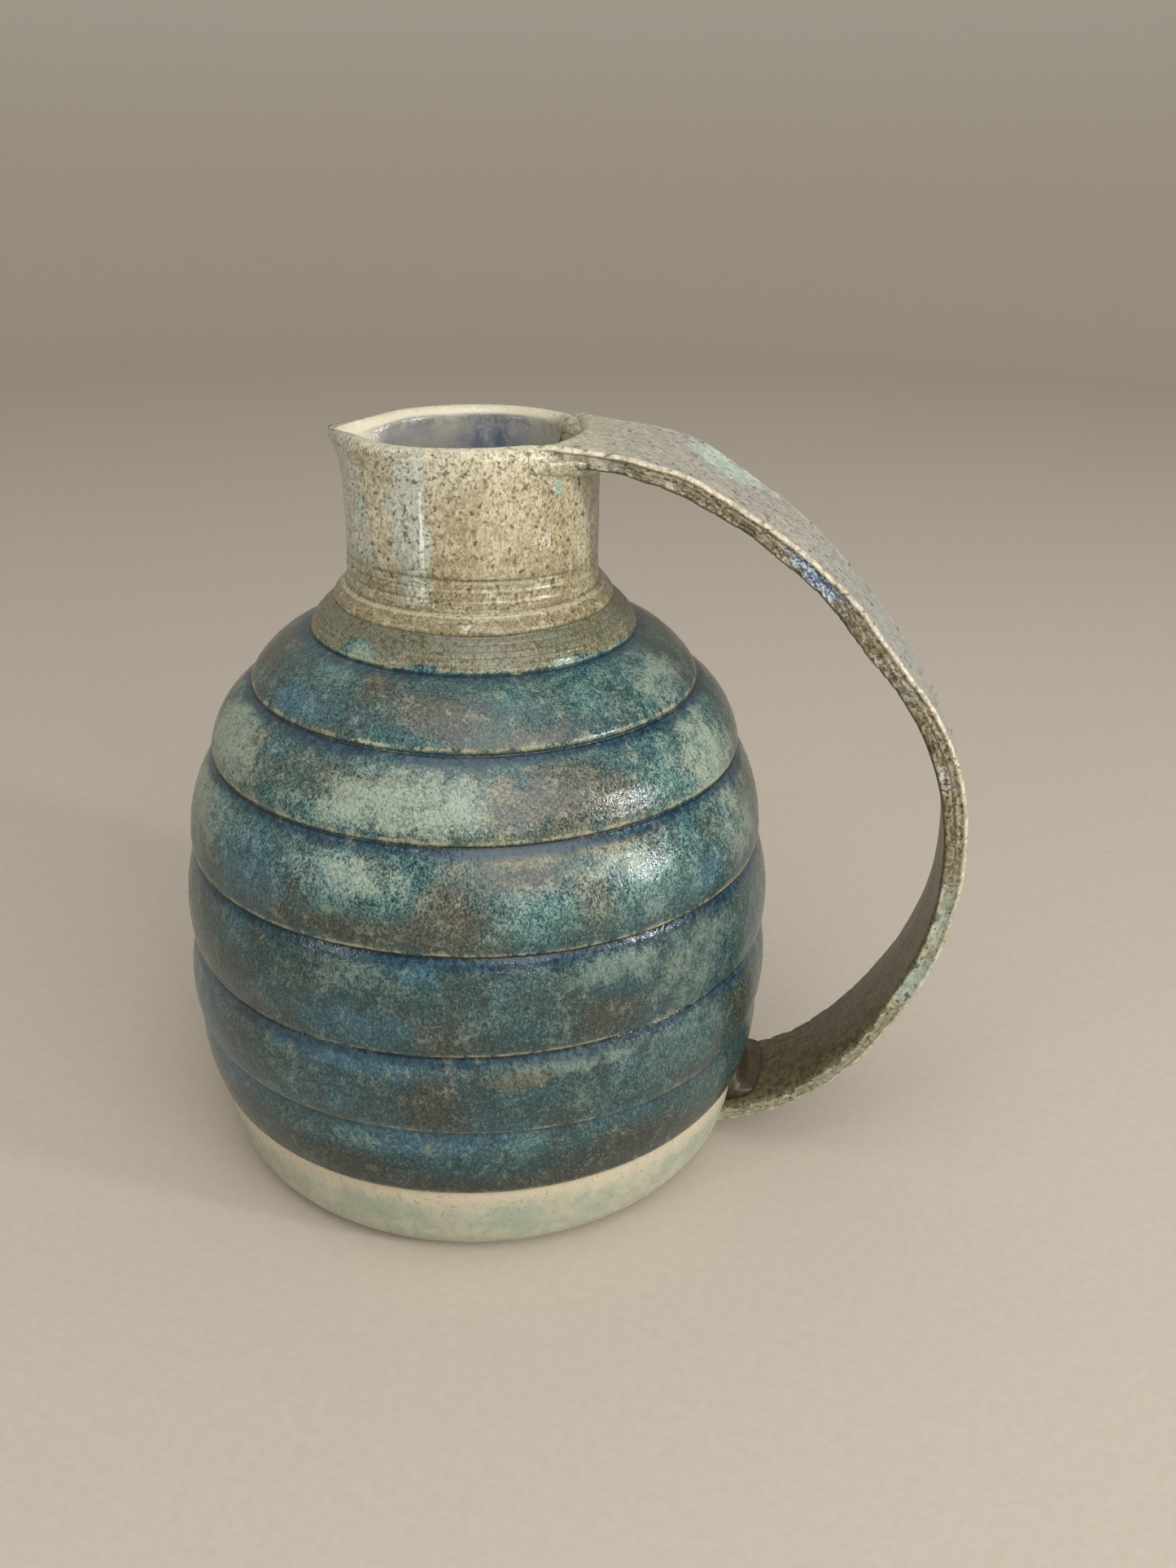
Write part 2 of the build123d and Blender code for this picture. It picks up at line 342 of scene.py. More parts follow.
NECK_DRIPS = [
    (-130, 186, 4.5, 2.2, 1.0), (-36.5, 190.8, 2.6, 2.0, 1.0), (-124, 174, 4, 1.6, 0.7),
    (-113, 189, 3, 5, 0.5), (70, 184, 4, 2.5, 0.9), (160, 178, 4, 2, 0.8),
]
NECK_WARM = [
    (-58, 180, 26, 14, 0.5), (-120, 166, 60, 5, 0.65), (-30, 166, 60, 5, 0.55),
    (90, 166, 80, 5, 0.6), (-84, 172, 10, 10, 0.9), (-36, 176, 14, 18, 0.85),
    (-80, 186, 9, 9, 0.7), (-132, 167, 9, 5, 0.6), (10, 172, 20, 14, 0.8), (70, 170, 14, 10, 0.7),
    (120, 168, 12, 8, 0.7),
]
NECK_COBALT = [
    (100, 186, 9, 12, 0.9), (88, 190, 6, 14, 0.9), (74, 184, 9, 14, 0.7), (60, 186, 7, 12, 0.4),
    (112, 178, 5, 10, 0.5), (-60, 180, 5, 24, 0.7), (-30, 180, 4, 24, 0.6),
]
# Inside the neck, the lip's side is cream where the far side is cobalt.
NECK_CREAM = [(190, 190, 26, 30, 1.0)]


def soft_ovals(x, y, patches, offset=np.subtract):
    """How much of a patch there is at each point, from 0 to 1, as soft-edged ovals."""
    remain = 1.0
    for middle_x, middle_y, reach_x, reach_y, strength in patches:
        distance = (offset(x, middle_x) / reach_x) ** 2 + ((y - middle_y) / reach_y) ** 2
        remain = remain * (1 - strength * np.exp(-(distance**1.3) * 0.9))
    return 1 - remain


def from_azimuth(angle, azimuth):
    """How many degrees an angle is from an azimuth in degrees."""
    return np.degrees(apart(angle, math.radians(azimuth)))


def patch_mask(angle, height, patches):
    """The ovals of glaze round the pot, by azimuth and height."""
    return soft_ovals(angle, height, patches, from_azimuth)


# On the strap: distance along it and across it in millimetres, with each patch's reach.
STRAP_CELADON = [
    (38, 9, 9, 7, 1.0), (31, 15, 5, 5, 0.8), (48, 12, 6, 4, 0.5), (168, -14, 10, 5, 0.7),
    (190, -15, 7, 6, 1.0), (150, 8, 16, 6, 0.5), (215, 5, 12, 7, 0.6),
]
STRAP_BLUE_GREY = [
    (88, 0, 26, 30, 0.5), (120, 6, 18, 14, 0.4),
]
STRAP_COBALT = [
    (66, -17, 6, 6, 1.0), (72, -17, 4, 6, 0.6), (80, -17, 6, 6, 0.35), (108, 17, 7, 6, 0.8),
    (102, -17, 3, 6, 0.4),
]
# Pits and lumps of the cut edge: distance along, side, place through the strap, size, depth.
EDGE_PITS = [
    (3.5, -1, 0.1, 1.0, 1.2), (9.0, -1, -0.5, 1.2, 0.8), (16.0, -1, 0.35, 1.1, 1.3),
    (19.0, -1, -0.7, 1.6, 0.9), (27.5, -1, -0.1, 0.8, 0.6), (71.5, -1, 0.25, 1.0, 0.9),
    (93.0, -1, -0.2, 1.2, 0.8), (60.0, 1, 0.1, 1.2, 0.9), (118.0, 1, -0.3, 1.4, 0.8),
]


# ---------------------------------------------------------------- thrown body


def band(low, high, bulge, lip, count=36):
    """One band's outline from the groove below to the groove above.

    Its lower edge turns out sharply over the groove and its upper end sinks into the next one.
    Returns radius, height, distance above the lower groove and distance below the upper one.
    """
    t = spread(count, 0.85)
    r0, z0, r1, z1 = *low[:2], *high[:2]
    length = math.hypot(r1 - r0, z1 - z0)
    out = bulge * np.sin(math.pi * t) ** 0.85 + lip * (1 - np.exp(-t * length / 0.6)) * (1 - t) ** 1.5
    r = r0 + (r1 - r0) * t + out * (z1 - z0) / length
    z = z0 + (z1 - z0) * t - out * (r1 - r0) / length
    return r, z, t * length, (1 - t) * length


def body_outline():
    """Rows of the body's surface from the middle of the base, up the outside and down the inside."""
    rows = []

    def add(r, z, above=FAR_OFF, below=FAR_OFF, depth=0.0, part=FOOT):
        rows.append((r, z, above, below, depth, part))

    for r in (6, 30, 52, 61, 64.2):
        add(r, 0.0)
    for turn in np.linspace(0, HEEL_TURN, 9):
        add(FOOT_RADIUS + HEEL_REACH * math.sin(turn), HEEL_RISE * (1 - math.cos(turn)))
    heel_r, heel_z = rows[-1][:2]
    foot_r, foot_z = GLAZE_LINE[0] - 0.55, GLAZE_LINE[1] - 0.25
    for t in np.linspace(0.08, 1, 14):
        bow = 0.55 * math.sin(math.pi * t)
        add(heel_r + (foot_r - heel_r) * t + bow, heel_z + (foot_z - heel_z) * t)
    stops = [(*GLAZE_LINE, 0.5), *GROOVES]
    for low, high, bulge in zip(stops, stops[1:], BAND_BULGES):
        r, z, above, below = band(low, high, bulge, low[2])
        for i in range(1 if low is not stops[0] else 0, len(r)):
            add(r[i], z[i], above[i], below[i], low[2] if above[i] < below[i] else high[2], BANDS)
    r, z, above, below = band(GROOVES[-1], (COIL_RADIUS - 0.4, SEAM_HEIGHT), 0.7, 0.55, 70)
    for i in range(1, len(r)):
        ring = 0.16 * math.sin(above[i] * 3.9) + 0.10 * math.sin(above[i] * 7.1 + 1.0)
        add(r[i], z[i] + ring * min(1.0, above[i], below[i]), above[i], FAR_OFF, 0.8, COLLAR)
    add(NECK_RADIUS, SEAM_HEIGHT, part=COLLAR)
    add(NECK_BORE, SEAM_HEIGHT, part=LINING)
    inside = [
        (NECK_BORE, SEAM_HEIGHT),
        (30.0, 150.5),
        (39.0, 143.8),
        (53.5, 131.0),
        (63.8, 115.0),
        (70.6, 91.5),
        (73.2, 67.0),
        (73.6, 45.0),
        (71.3, 25.0),
        (67.0, 13.6),
        (57.0, 9.0),
        (40.0, FLOOR_HEIGHT),
    ]
    line, _, _ = smooth_line(inside, 44)
    for r, z in line[1:]:
        add(r, z, part=LINING)
    for r in (24, 6):
        add(r, FLOOR_HEIGHT, part=LINING)
    return np.array(rows)


def make_body():
    """The thrown body, slightly out of round, its grooves running a little uneven."""
    rows = body_outline()
    angle = full_turn(BODY_COLUMNS)
    r, z, above, below, depth, part = [rows[:, i][:, None] for i in range(6)]
    on_band = (part == BANDS) | (part == COLLAR)
    banded = hill(z, 85.0, 62.0, 4) * on_band
    drift = 0.45 * wobble(angle + z * 0.004, 1.0) * banded
    swell = 0.28 * wobble(angle, 4.0, (2, 3, 4)) * np.sin(z / 9.0) * banded
    sag = 0.35 * wobble(angle, 7.0, (2, 3, 5)) * (r / 80.0) * banded
    edge = hill(above, 0.9, 0.9)
    nibble = 0.10 * ripple(angle * 75.0, 3.0, 26.0) * edge * banded
    throwing = 0.05 * np.sin(z * 2.3 + 0.8 * wobble(angle, 2.0)) * banded
    radius = r + swell + sag + nibble + throwing
    rings = 0.5 + 0.5 * np.sin(above * 3.9 + 0.4 * wobble(angle, 3.0))
    # The low bands and the bottom band are darker, partly darker glaze and partly painted shade; the top
    # band, which faces up, is darkened with painted shade.
    low_bands = np.clip((112 - z - 3 * wobble(angle, 6.0, (1, 2, 3))) / 16, 0, 1)
    shade = low_bands + 0.45 * ramp(z, 135, 138) + 0.28 * ramp(z, 38, 34)
    marks = {
        "above_groove": above,
        "below_groove": below,
        "groove_depth": depth,
        "foot": part == FOOT,
        "foot_low": ramp(z, 7, 0),
        "foot_top": (part == FOOT) * ramp(z, 16, 22),
        "collar": part == COLLAR,
        "collar_ring": (part == COLLAR) * rings,
        "lining": part == LINING,
        "deep_glaze_and_painted_shade": (part == BANDS) * np.clip(shade, 0, 1.28),
        "blotch": patch_mask(angle, z, FOOT_BLOTCHES) * (part == FOOT),
    }
    for name, patches in PATCHES.items():
        marks[name] = patch_mask(angle, z, patches) * on_band
    return ring_mesh("banded_body", turned(radius, angle, z + drift * 0.8), marks, caps=True)


# ---------------------------------------------------------------- neck and luting coil

# Lines left on the neck by throwing: height above the seam, how proud (or deep), half width.
NECK_LINES = [
    (11.9, -0.34, 0.40),
    (10.3, -0.28, 0.30),
    (9.0, 0.20, 0.40),
    (7.5, -0.28, 0.30),
    (6.2, 0.18, 0.35),
    (14.6, 0.10, 0.50),
]


def lip_pull(height, reach):
    """How far the pouring lip stands out of the neck at each height."""
    return reach * np.clip(1 - (RIM_HEIGHT - height) / LIP_HEIGHT, 0, None) ** 1.8


def make_neck():
    """The thrown neck with its throwing lines, rounded rim and pinched lip, bore included."""
    angle = full_turn(NECK_COLUMNS)
    off_lip = apart(angle, math.pi)
    crest = NECK_RADIUS - RIM_ROUNDING
    rim_start = RIM_HEIGHT - RIM_ROUNDING

    ringed_z = np.linspace(SEAM_HEIGHT, SEAM_HEIGHT + 14, 64)
    outside_z = np.concatenate([ringed_z, np.linspace(SEAM_HEIGHT + 14.6, rim_start, 44)])
    rim_turn = np.linspace(0, math.pi, 18)[1:-1]
    rim_z = rim_start + RIM_ROUNDING * np.sin(rim_turn)
    inside_z = np.linspace(rim_start + 0.1, SEAM_HEIGHT, 36)
    z = np.concatenate([outside_z, rim_z, inside_z])[:, None]
    r = np.concatenate(
        [
            np.full_like(outside_z, NECK_RADIUS),
            crest + np.where(rim_turn < math.pi / 2, RIM_ROUNDING, crest - NECK_BORE) * np.cos(rim_turn),
            np.full_like(inside_z, NECK_BORE),
        ]
    )[:, None]
    outer = np.concatenate([np.ones(len(outside_z) + 8), np.zeros(8 + len(inside_z))])[:, None]

    pull_outer, pull_inner = LIP_REACH - NECK_RADIUS, LIP_REACH - NECK_RADIUS + 2.2
    pinch = hill(off_lip, 0, 0.33) * 0.55 + hill(off_lip, 0, 0.20) * 0.45
    pull = (outer * lip_pull(z, pull_outer) + (1 - outer) * lip_pull(z, pull_inner)) * pinch
    above_seam = z - SEAM_HEIGHT
    lines = 0.0 * angle
    for height, size, width in NECK_LINES:
        run = above_seam - height - 0.35 * wobble(angle, height, (1, 2))
        fade = 0.65 + 0.35 * wobble(angle, height + 2, (1, 3))
        lines = lines + size * fade * hill(run, 0, width)
    waist = -0.35 * np.sin(ramp(above_seam, 0, 40) * math.pi)
    unround = 0.22 * wobble(angle, 5.0, (2, 3)) + 0.10 * wobble(angle + z * 0.05, 8.0, (3, 5, 7))
    radius = r + pull + lines * outer + waist * outer + unround
    drop = 1.9 * hill(off_lip, 0, 0.42) * ramp(z - RIM_HEIGHT, -14, 0) ** 1.5
    near_top = ramp(z - RIM_HEIGHT, -8, 0)
    rim_wave = 0.2 * wobble(angle, 3.0, (1, 2, 3)) * near_top
    off_handle = apart(angle, 0.0)
    under_strap = 2.1 * hill(off_handle, 0, 0.68, 6) * near_top
    open_rim = 1 - hill(off_handle, 0, 0.92, 8)
    height = z - drop + rim_wave - under_strap
    rim = np.clip(1 - np.abs(z - RIM_HEIGHT) / np.where(outer > 0, 1.3, 2.2), 0, 1)
    # Inside the rim under the strap's root the wall takes the outside glaze, made warm and darker as
    # painted shade.
    over_wall = (1 - open_rim) * (z > RIM_HEIGHT - 4.5)
    marks = {
        "inside": (1 - outer) * (1 - over_wall),
        "ridge": ramp(lines, 0, 0.4) * outer,
        "ring_dark": ramp(-lines, 0, 0.3) * outer,
        "run": patch_mask(angle, z, NECK_RUNS) * outer,
        "drip": patch_mask(angle, z, NECK_DRIPS) * outer,
        "warm": patch_mask(angle, z, NECK_WARM) * outer + 0.8 * over_wall * (1 - outer),
        "streak_and_highlight": patch_mask(angle, z, NECK_STREAKS_AND_HIGHLIGHTS) * outer,
        "cobalt": patch_mask(angle, z, NECK_COBALT) * (1 - outer),
        "cream": np.clip(1 - (RIM_HEIGHT - z - 1.0) / 1.6, 0, 1) * (1 - outer) * open_rim
        + patch_mask(angle, z, NECK_CREAM) * (1 - outer),
        "low": ramp(z, 178, 170) * outer + 0.9 * over_wall * (1 - outer),
        "shadow": hill(z - RIM_HEIGHT, -3.4, 1.0) * (1 - outer),
        "lip": rim * open_rim,
        "spout": hill(off_lip, 0, 0.5, 4) * ramp(z - RIM_HEIGHT, -6, -1) * outer,
    }
    return ring_mesh("neck", turned(radius, angle, height), marks, closed_rows=True)


def make_coil():
    """The luting coil: a ledge of clay round the seam, its outer edge pressed unevenly."""
    angle = full_turn(COIL_COLUMNS)
    reach = COIL_RADIUS - NECK_RADIUS
    section = [
        (-1.0, -0.2),
        (reach * 0.5, -0.2),
        (reach - 0.3, -0.1),
        (reach, 0.45),
        (reach - 0.1, 1.05),
        (reach - 0.45, 1.6),
        (reach - 1.2, 2.3),
        (reach - 1.9, 2.8),
        (reach - 2.2, 3.2),
        (reach - 2.4, 3.75),
        (reach - 2.8, 4.0),
        (reach - 3.2, 3.95),
        (0.6, 4.4),
        (0.2, 5.0),
        (-1.0, 5.2),
    ]
    line, _, _ = smooth_line(section, 40)
    out, up = line[:, 0][:, None], line[:, 1][:, None]
    outer = np.clip(out / reach, 0, 1)
    press = 0.35 * wobble(angle, 6.0, (2, 3, 5, 7)) + 0.16 * ripple(angle * 38, 2.0, 21.0) - 0.25
    lift = outer**2 * np.clip(up, 0, 2) / 2 * (0.25 * wobble(angle, 9.0, (1, 3, 4)))
    radius = NECK_RADIUS + out + outer**2 * press
    height = SEAM_HEIGHT + up + lift
    bead = hill(up, 3.9, 0.35) * (out > 0.8)
    # The pale line along the coil's outer edge is painted highlight; the bead at its top is a ridge of
    # clay.
    brink_highlight = hill(up, 0.9, 0.5) * (out > reach * 0.8)
    stain = 0.45 + 0.25 * ripple(angle * 38 + up * 2, 5.0, 17.0, 3)
    marks = {
        "ridge": np.clip(1.1 * bead + 0.2 * brink_highlight, 0, 1),
        "ring_dark": np.clip((up < 0.25) + 0.7 * hill(up, 4.5, 0.3) + stain, 0, 1),
        "warm": 1.0,
        "low": 1.0,
    }
    return ring_mesh("luting_coil", turned(radius, angle, height), marks, closed_rows=True)


# ---------------------------------------------------------------- strap handle and its joints


def strap_section():
    """The strap's cut outline: across from -1 to 1, and through from -1, inside, to 1, outside."""
    flat = spread(30, 0.7) * 2 - 1
    edge = np.linspace(1, -1, 17)[1:-1]
    ones, zeros = np.ones_like(edge), np.zeros_like(flat)
    across = np.concatenate([flat, ones, flat[::-1], -ones])
    through = np.concatenate([zeros + 1, edge, zeros - 1, edge[::-1]])
    side = np.concatenate([zeros, ones, zeros, -ones])
    return across[None, :], through[None, :], side[None, :]


def make_strap():
    """The slab strap: cut edges with a proud outer lip, a crease, and a ragged inner corner."""
    line, direction, run = smooth_line(STRAP_ROUTE, STRAP_ROWS)
    across, through, side = strap_section()
    s = run[:, None]
    x, z = line[:, 0][:, None], line[:, 1][:, None]
    dx, dz = direction[:, 0][:, None], direction[:, 1][:, None]
    edge_run = s + 31.0 * (across > 0)
    lumps = 0.55 * ripple(s + 2.0, 6.0, 7.5, 3) * hill(s, 0, 15.0, 4)

    near_width = ease(s, STRAP_NEAR_WIDTH)
    far_width = ease(s, STRAP_FAR_WIDTH)
    half_width = np.where(across < 0, near_width, far_width) + 4.6 * np.exp(-s / 4.6)
    half_width = half_width + 0.4 * ripple(edge_run, 1.0, 46.0, 3) * ramp(s, 0, 12)
    lip = 0.5 * hill(through, 0.86, 0.2)
    recess = -0.35 * hill(through, 0.42, 0.28)
    crease_at = 0.05 + 0.18 * ripple(edge_run, 2.0, 60.0, 2)
    crease = -0.5 * np.clip(ripple(edge_run, 9.0, 70.0, 2) + 0.55, 0, 1) * hill(through, crease_at, 0.10)
    chips = np.clip(ripple(edge_run, 5.0, 11.0, 4) - 0.05, 0, 1)
    ragged = (0.35 - 1.5 * chips) * hill(through, -0.95, 0.33)
    rough_edge = 0.12 * ripple(edge_run + 7 * through, 4.0, 5.0, 2)
    settled = ramp(s, 2, 12)
    cut_edge = lip + lumps * (1 - through) + (recess + crease + ragged + rough_edge) * settled
    y = across * half_width + side * cut_edge

    half_thick = STRAP_THICKNESS / 2 * (1 + 0.05 * ripple(edge_run, 7.0, 60.0, 2))
    corner = 0.4 * ramp(np.abs(across), 0.96, 1) ** 2
    bitten = 1.3 * chips * ramp(np.abs(across), 0.93, 1) * (through < 0) * settled
    lift = through * (half_thick - corner - bitten)
    lift = lift + 0.12 * ripple(s + across * 11, 3.0, 34.0, 3) * (through > 0)
    lift = lift + 0.35 * hill(np.abs(across), 0.97, 0.035) * (through > 0.9)
    near, far = np.clip(-across, 0, 1) ** 3, np.clip(across, 0, 1) ** 1.5
    lift = lift + near * ease(s, NEAR_LIP_LIFT) * (through + 1) / 2
    lift = lift + near * ease(s, NEAR_UNDER_LIFT) * (1 - through) / 2
    lift = lift + far * ease(s, FAR_EDGE_LIFT)
    for spot, sign, depth_at, size, depth in EDGE_PITS:
        there = ((s - spot) / size) ** 2 + ((through - depth_at) * 2.5 / size) ** 2
        y = y - sign * depth * np.exp(-there) * (side == sign)
    # The root's rows follow the rim's inner edge, round over it, and straighten out.
    rim_line = 27.0 + 3.2 * (np.abs(y) / 23.0) ** 2
    root_x = np.sqrt(np.clip(rim_line**2 - y**2, 14.0**2, None))
    first, straight = STRAP_ROUTE[0][0], 52.0
    bent = root_x + (x - first) * (straight - root_x) / (straight - first)
    px = np.where((x < straight) & (s < 60), bent, x)
    rolled = np.sqrt(np.clip(1 - (1 - ramp(s, 0, 2.6)) ** 2, 0, 1))
    lift = np.where(through > 0, -0.6 + (lift + 1.4 * np.exp(-s / 14.0)) * rolled + 0.6 * rolled, lift)
    px = px - dz * lift
    pz = z + dx * lift
    points = np.stack(np.broadcast_arrays(px, y, pz), axis=-1)

    on_side = np.abs(side)
    root = hill(s, 0, 16.0)
    at_corner = ramp(np.abs(across), 0.965, 0.985)
    in_crease = hill(through, crease_at, 0.12)
    above_crease = np.clip((through - crease_at) / 0.15, 0, 1)
    marks = {
        "edge_top": hill(through, 1.0, 0.11) * at_corner,
        "edge_side": on_side * (1 - 0.85 * root) * ramp(through, 0.93, 0.83),
        "crease": on_side * in_crease * ramp(s, 20, 30),
        "edge_low": on_side * ramp(s, 145, 175),
        # The strap's underside is painted dark as shade.
        "under": (side == 0) * (through < -0.9),
        "celadon": soft_ovals(s, y, STRAP_CELADON),
        "blue_grey": soft_ovals(s, y, STRAP_BLUE_GREY) * (1 - on_side),
        "cobalt": soft_ovals(s, y, STRAP_COBALT) * on_side,
        "pale": root * (through > -0.5),
        "run_along": s,
        "across_mm": y,
        "through": through,
        "upper_half": on_side * above_crease * ramp(s, 12, 24),
    }
    marks = {key: value[:, ::-1] for key, value in marks.items()}
    return ring_mesh("strap", points[:, ::-1], marks, caps=True)


def make_upper_pad():
    """The clay smeared under the strap's root: a ledge round the neck, deepest under the strap."""
    turn = full_turn(36)
    angle = np.linspace(-50.0, 50.0, 150)[:, None]
    fullness = np.clip(1 - (np.abs(angle) / 50.5) ** 3, 0, 1)
    under = hill(angle, 0, 27.0, 6)
    low = RIM_HEIGHT - 8.3 + 0.35 * ripple(angle, 6.0, 26.0, 3) + 3.0 * (1 - fullness)
    high = RIM_HEIGHT - 3.2 - 1.5 * under
    reach = 0.2 + 1.9 * fullness + 0.25 * ripple(angle, 3.0, 15.0, 3) * fullness
    squared = np.sign(np.cos(turn)) * np.abs(np.cos(turn)) ** 0.6
    lifted = np.sign(np.sin(turn)) * np.abs(np.sin(turn)) ** 0.5
    middle, half_tall = (low + high) / 2, (high - low) / 2
    above_low = (lifted + 1) / 2
    wedge = 5.4 * hill(angle, 0, 41.0, 8) * np.clip(above_low, 0, 1) ** 0.8
    inner = NECK_RADIUS - 1.2
    outer = NECK_RADIUS + reach * (1 - 0.65 * above_low * (1 - under)) + wedge
    radius = (inner + outer) / 2 + (outer - inner) / 2 * squared
    height = middle + half_tall * lifted
    points = turned(radius, np.radians(angle), height)
    run = hill(np.abs(angle), 22, 9.0) * (squared > 0.3)
    ledge = hill(above_low, 0.08, 0.16) * (squared > 0.3)
    marks = {"run": run, "lip": ledge * fullness}
    return ring_mesh("upper_pad", points, marks, caps=True)


def make_lower_pad():
    """The clay pressed between the strap's end and the foot: a small hollow fillet."""
    section = [
        (71.0, 12.0),
        (72.5, 20.0),
        (75.2, 26.2),
        (77.2, 24.6),
        (78.6, 21.6),
        (80.6, 19.4),
        (83.6, 18.6),
        (82.6, 16.0),
        (77.0, 12.6),
    ]
    line, _, _ = smooth_line([*section, section[0]], 41)
    line = line[:-1]
    centre = line.mean(axis=0)
    across = np.linspace(-1, 1, 60)[:, None]
    shrink = np.clip(1 - np.abs(across) ** 7, 0.02, 1) ** 0.5
    r = centre[0] + (line[:, 0][None, :] - centre[0]) * shrink
    z = centre[1] + (line[:, 1][None, :] - centre[1]) * shrink + 0.3 * ripple(across * 14, 4.0, 9.0, 3)
    angle = across * LOWER_PAD_HALF_ANGLE
    points = turned(r, np.radians(angle), z)
    # The whole pad is painted dark as shade, like the strap's underside.
    marks = {
        "under": 1.0,
        "shade": 1.0,
        "run_along": z + 260.0,
        "across_mm": angle * 1.3,
    }
    return ring_mesh("lower_pad", points[:, ::-1], marks, caps=True)


# ---------------------------------------------------------------- materials


def srgb(red, green, blue):
    """A shader colour from 0-255 display values."""
    linear = []
    for value in (red, green, blue):
        value = value / 255
        linear.append(value / 12.92 if value <= 0.04045 else ((value + 0.055) / 1.055) ** 2.4)
    return (*linear, 1.0)


# A Mix node's colour sockets, by place, because its number sockets have the same names.
COLOUR_A, COLOUR_B, COLOUR_OUT = 6, 7, 2


class Glaze:
    """One procedural material and the few kinds of node that it's made of."""

    def __init__(self, name):
        self.material = bpy.data.materials.new(name)
        self.material.use_nodes = True
        self.tree = self.material.node_tree
        self.tree.nodes.clear()
        self.place = self.add("ShaderNodeTexCoord").outputs["Object"]

    def add(self, kind, **settings):
        node = self.tree.nodes.new(kind)
        for key, value in settings.items():
            setattr(node, key, value)
        return node

    def feed(self, socket, value):
        if isinstance(value, bpy.types.NodeSocket):
            self.tree.links.new(value, socket)
        else:
            socket.default_value = value

    def fill(self, node, sockets):
        for name, value in sockets.items():
            self.feed(node.inputs[name], value)

    def noise(self, cell_mm, detail=2.0, rough=0.5, stretch=1.0, shift=0.0, warp=0.0, place=None):
        """Noise with cells of about that size, drawn out along Z by stretch."""
        mapping, node = self.add("ShaderNodeMapping"), self.add("ShaderNodeTexNoise")
        corner, scale = (shift, shift * 0.7, shift * 1.3), (1.0, 1.0, 1.0 / stretch)
        self.fill(mapping, {"Vector": place or self.place, "Location": corner, "Scale": scale})
        self.fill(node, {"Vector": mapping.outputs["Vector"], "Scale": 1.0 / (cell_mm * MM)})
        self.fill(node, {"Detail": detail, "Roughness": rough, "Distortion": warp})
        return node.outputs["Fac"]

    def value(self, name):
        return self.add("ShaderNodeAttribute", attribute_name=name).outputs["Fac"]

    def maths(self, operation, a, b, clamp=False):
        node = self.add("ShaderNodeMath", operation=operation, use_clamp=clamp)
        self.fill(node, {0: a, 1: b})
        return node.outputs[0]

    def times(self, a, b):
        return self.maths("MULTIPLY", a, b)

    def plus(self, a, b):
        return self.maths("ADD", a, b)

    def step(self, value, low, high):
        """0 below low, 1 above high, and smooth between. low may be the larger."""
        node = self.add("ShaderNodeMapRange", interpolation_type="SMOOTHSTEP")
        self.fill(node, {"Value": value, "From Min": min(low, high), "From Max": max(low, high)})
        if low > high:
            self.fill(node, {"To Min": 1.0, "To Max": 0.0})
        return node.outputs["Result"]

    def blend(self, factor, a, b, mode="MIX"):
        node = self.add("ShaderNodeMix", data_type="RGBA", blend_type=mode)
        self.fill(node, {"Factor": factor, COLOUR_A: a, COLOUR_B: b})
        return node.outputs[COLOUR_OUT]

    def cover(self, colour, paint, mask, strength):
        """The colour with paint over it where the mask is, as dense as strength."""
        return self.blend(self.times(mask, strength), colour, paint)

    def tones(self, factor, dark, light):
        """From one display colour to another as factor goes from 0 to 1."""
        return self.blend(factor, srgb(*dark), srgb(*light))

    def sum(self, *weighted):
        """The sum of (value, weight) pairs, each value counted from its middle of 0.5."""
        total = None
        for value, weight in weighted:
            part = self.times(self.maths("SUBTRACT", value, 0.5), weight)
            total = part if total is None else self.plus(total, part)
        return total

    def grainy(self, mask, grain, soft=0.2):
        """A mask whose edge breaks up into grains instead of fading. grain is around 0."""
        return self.step(self.plus(mask, grain), 0.5 - soft, 0.5 + soft)

    def finish(self, colour, roughness, bumps, gloss=0.5):
        """Ends the material: colour, roughness, and bumps as (height, distance in mm, strength)."""
        shader = self.add("ShaderNodeBsdfPrincipled")
        self.fill(shader, {"Base Color": colour, "Roughness": roughness})
        self.fill(shader, {"IOR": 1.5, "Specular IOR Level": gloss})
        normal = None
        for height, distance, strength in bumps:
            bump = self.add("ShaderNodeBump")
            self.fill(bump, {"Height": height, "Distance": distance * MM, "Strength": strength})
            if normal is not None:
                self.feed(bump.inputs["Normal"], normal)
            normal = bump.outputs["Normal"]
        self.feed(shader.inputs["Normal"], normal)
        output = self.add("ShaderNodeOutputMaterial")
        self.tree.links.new(shader.outputs[0], output.inputs["Surface"])
        return self.material


